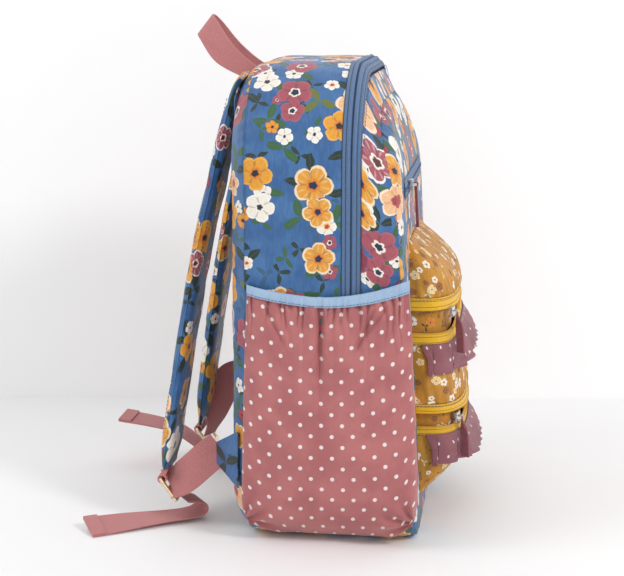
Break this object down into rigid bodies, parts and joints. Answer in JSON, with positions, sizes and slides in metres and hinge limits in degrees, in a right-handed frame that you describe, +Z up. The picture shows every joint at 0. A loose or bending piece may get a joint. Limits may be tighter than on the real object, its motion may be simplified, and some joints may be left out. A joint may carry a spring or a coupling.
{
  "type": "school backpack",
  "caption": "Zipped fabric school backpack with padded shoulder straps, a grab loop, two side pockets and a two-zip front pocket with ruffles.",
  "frame": {"origin": "centre of the base's resting face, on the ground", "axes": "+Z up; -Y towards the front pockets; +Y towards the wearer's back and the straps; -X the wearer's left"},
  "size_m": [0.3012, 0.3602, 0.4567],
  "materials": {
    "blue_print": "printed satin-weave cloth, slightly shiny",
    "mustard_print": "printed cotton",
    "pocket_dots": "printed cotton with small dots",
    "light_binding": "folded elastic binding",
    "ruffle_dots": "printed cotton with small dots",
    "yellow_tape": "woven zip tape",
    "blue_tape": "woven zip tape",
    "webbing": "herringbone webbing",
    "ribbon": "ribbed ribbon",
    "leather_pull": "smooth leather",
    "lining": "plain lining cloth",
    "foam": "closed-cell foam",
    "gold_metal": "light gold plating",
    "antique_metal": "antique plating"
  },
  "bodies": {
    "bag": {"anchor_tab_left": "blue_print", "anchor_tab_right": "blue_print", "back_foam": "foam", "back_lining": "lining", "back_panel": "blue_print", "base_panel": "blue_print", "haul_loop_foot": "webbing", "inner_sleeve": "lining", "lower_front_panel": "blue_print", "lower_gusset_left": "blue_print", "lower_gusset_right": "blue_print", "lower_webbing_left": "webbing", "lower_webbing_right": "webbing", "main_zip_chain_lower": "blue_tape", "main_zip_chain_rear": "blue_tape", "main_zip_tape_lower": "blue_tape", "main_zip_tape_rear": "blue_tape", "pocket_base_panel": "mustard_print", "pocket_divider": "lining", "pocket_lower_chain": "yellow_tape", "pocket_lower_tape": "yellow_tape", "pocket_middle_panel": "mustard_print", "pocket_top_panel": "mustard_print", "pocket_upper_chain": "yellow_tape", "pocket_upper_tape": "yellow_tape", "rear_gusset": "blue_print", "ruffle_lower": "ruffle_dots", "ruffle_upper": "ruffle_dots", "side_binding_left": "light_binding", "side_binding_right": "light_binding", "side_pocket_left": "pocket_dots", "side_pocket_right": "pocket_dots", "strap_yoke": "blue_print"},
    "flap": {"flap_gusset": "blue_print", "flap_panel": "blue_print", "main_zip_tape_flap": "blue_tape", "main_zip_chain_flap": "blue_tape", "front_zip_tape": "blue_tape", "front_zip_chain": "blue_tape"},
    "haul_loop": {"haul_loop": "webbing"},
    "front_slider": {"front_slider": "antique_metal"},
    "front_pull": {"front_pull": "leather_pull"},
    "pocket_upper_slider": {"pocket_upper_slider": "antique_metal"},
    "pocket_upper_pull": {"pocket_upper_pull": "ribbon"},
    "pocket_lower_slider": {"pocket_lower_slider": "antique_metal"},
    "pocket_lower_pull": {"pocket_lower_pull": "ribbon"},
    "main_slider_a": {"main_slider_a": "antique_metal"},
    "main_slider_b": {"main_slider_b": "antique_metal"},
    "main_pull_a": {"main_pull_a": "antique_metal"},
    "main_pull_b": {"main_pull_b": "antique_metal"},
    "strap_left": {"strap_cover_left": "blue_print", "strap_foam_left": "foam", "strap_end_left": "webbing"},
    "buckle_left": {"buckle_left": "gold_metal"},
    "tail_left": {"webbing_tail_left": "webbing"},
    "strap_right": {"strap_cover_right": "blue_print", "strap_foam_right": "foam", "strap_end_right": "webbing"},
    "buckle_right": {"buckle_right": "gold_metal"},
    "tail_right": {"webbing_tail_right": "webbing"}
  },
  "joints": [
    {"name": "haul_loop_fold", "type": "hinge", "parent": "bag", "child": "haul_loop", "pos_m": [0, 0.071, 0.407], "axis": [1, 0, 0], "range_deg": [-15, 50]},
    {"name": "flap_open", "type": "hinge", "parent": "bag", "child": "flap", "pos_m": [0, -0.075, 0.264], "axis": [1, 0, 0], "range_deg": [0, 70]},
    {"name": "front_slider_run", "type": "slide", "parent": "flap", "child": "front_slider", "axis": [1, 0, 0], "range_m": [-0.03, 0.15]},
    {"name": "front_pull_swing", "type": "hinge", "parent": "front_slider", "child": "front_pull", "pos_m": [-0.062, -0.07636, 0.31064], "axis": [-1, 0, 0], "range_deg": [0, 100]},
    {"name": "upper_slider_run", "type": "hinge", "parent": "bag", "child": "pocket_upper_slider", "pos_m": [0, 0.181, 0.198], "axis": [0, 0, 1], "range_deg": [0, 25.6]},
    {"name": "upper_pull_swing", "type": "hinge", "parent": "pocket_upper_slider", "child": "pocket_upper_pull", "pos_m": [-0.06747, -0.11398, 0.198], "axis": [-0.9748, 0.223, 0], "range_deg": [0, 90]},
    {"name": "lower_slider_run", "type": "hinge", "parent": "bag", "child": "pocket_lower_slider", "pos_m": [0, 0.175, 0.102], "axis": [0, 0, 1], "range_deg": [0, 25.6]},
    {"name": "lower_pull_swing", "type": "hinge", "parent": "pocket_lower_slider", "child": "pocket_lower_pull", "pos_m": [-0.06747, -0.11998, 0.102], "axis": [-0.9748, 0.223, 0], "range_deg": [0, 90]},
    {"name": "main_slider_a_run", "type": "hinge", "parent": "bag", "child": "main_slider_a", "pos_m": [0.055, -0.0275, 0.329], "axis": [0, -1, 0], "range_deg": [0, 85]},
    {"name": "main_pull_a_swing", "type": "hinge", "parent": "main_slider_a", "child": "main_pull_a", "pos_m": [0.1462, -0.0275, 0.329], "axis": [0, -1, 0], "range_deg": [0, 150]},
    {"name": "main_slider_b_run", "type": "slide", "parent": "bag", "child": "main_slider_b", "axis": [0, 0, -1], "range_m": [0, 0.03]},
    {"name": "main_pull_b_swing", "type": "hinge", "parent": "main_slider_b", "child": "main_pull_b", "pos_m": [0.1462, -0.0275, 0.292], "axis": [0, -1, 0], "range_deg": [0, 60]},
    {"name": "strap_left_swing", "type": "hinge", "parent": "bag", "child": "strap_left", "pos_m": [0, 0.0863, 0.397], "axis": [1, 0, 0], "range_deg": [-2, 35], "deforming": ["lower_webbing_left"]},
    {"name": "buckle_left_swivel", "type": "hinge", "parent": "strap_left", "child": "buckle_left", "pos_m": [-0.08247, 0.1485, 0.042], "axis": [1, 0, 0], "range_deg": [-10, 15]},
    {"name": "tail_left_swing", "type": "hinge", "parent": "buckle_left", "child": "tail_left", "pos_m": [-0.08247, 0.13263, 0.02016], "axis": [1, 0, 0], "range_deg": [0, 30]},
    {"name": "strap_right_swing", "type": "hinge", "parent": "bag", "child": "strap_right", "pos_m": [0, 0.0863, 0.397], "axis": [1, 0, 0], "range_deg": [-2, 35], "deforming": ["lower_webbing_right"]},
    {"name": "buckle_right_swivel", "type": "hinge", "parent": "strap_right", "child": "buckle_right", "pos_m": [0.08247, 0.1485, 0.042], "axis": [1, 0, 0], "range_deg": [-10, 15]},
    {"name": "tail_right_swing", "type": "hinge", "parent": "buckle_right", "child": "tail_right", "pos_m": [0.08247, 0.13263, 0.02016], "axis": [1, 0, 0], "range_deg": [-15, 2]}
  ]
}
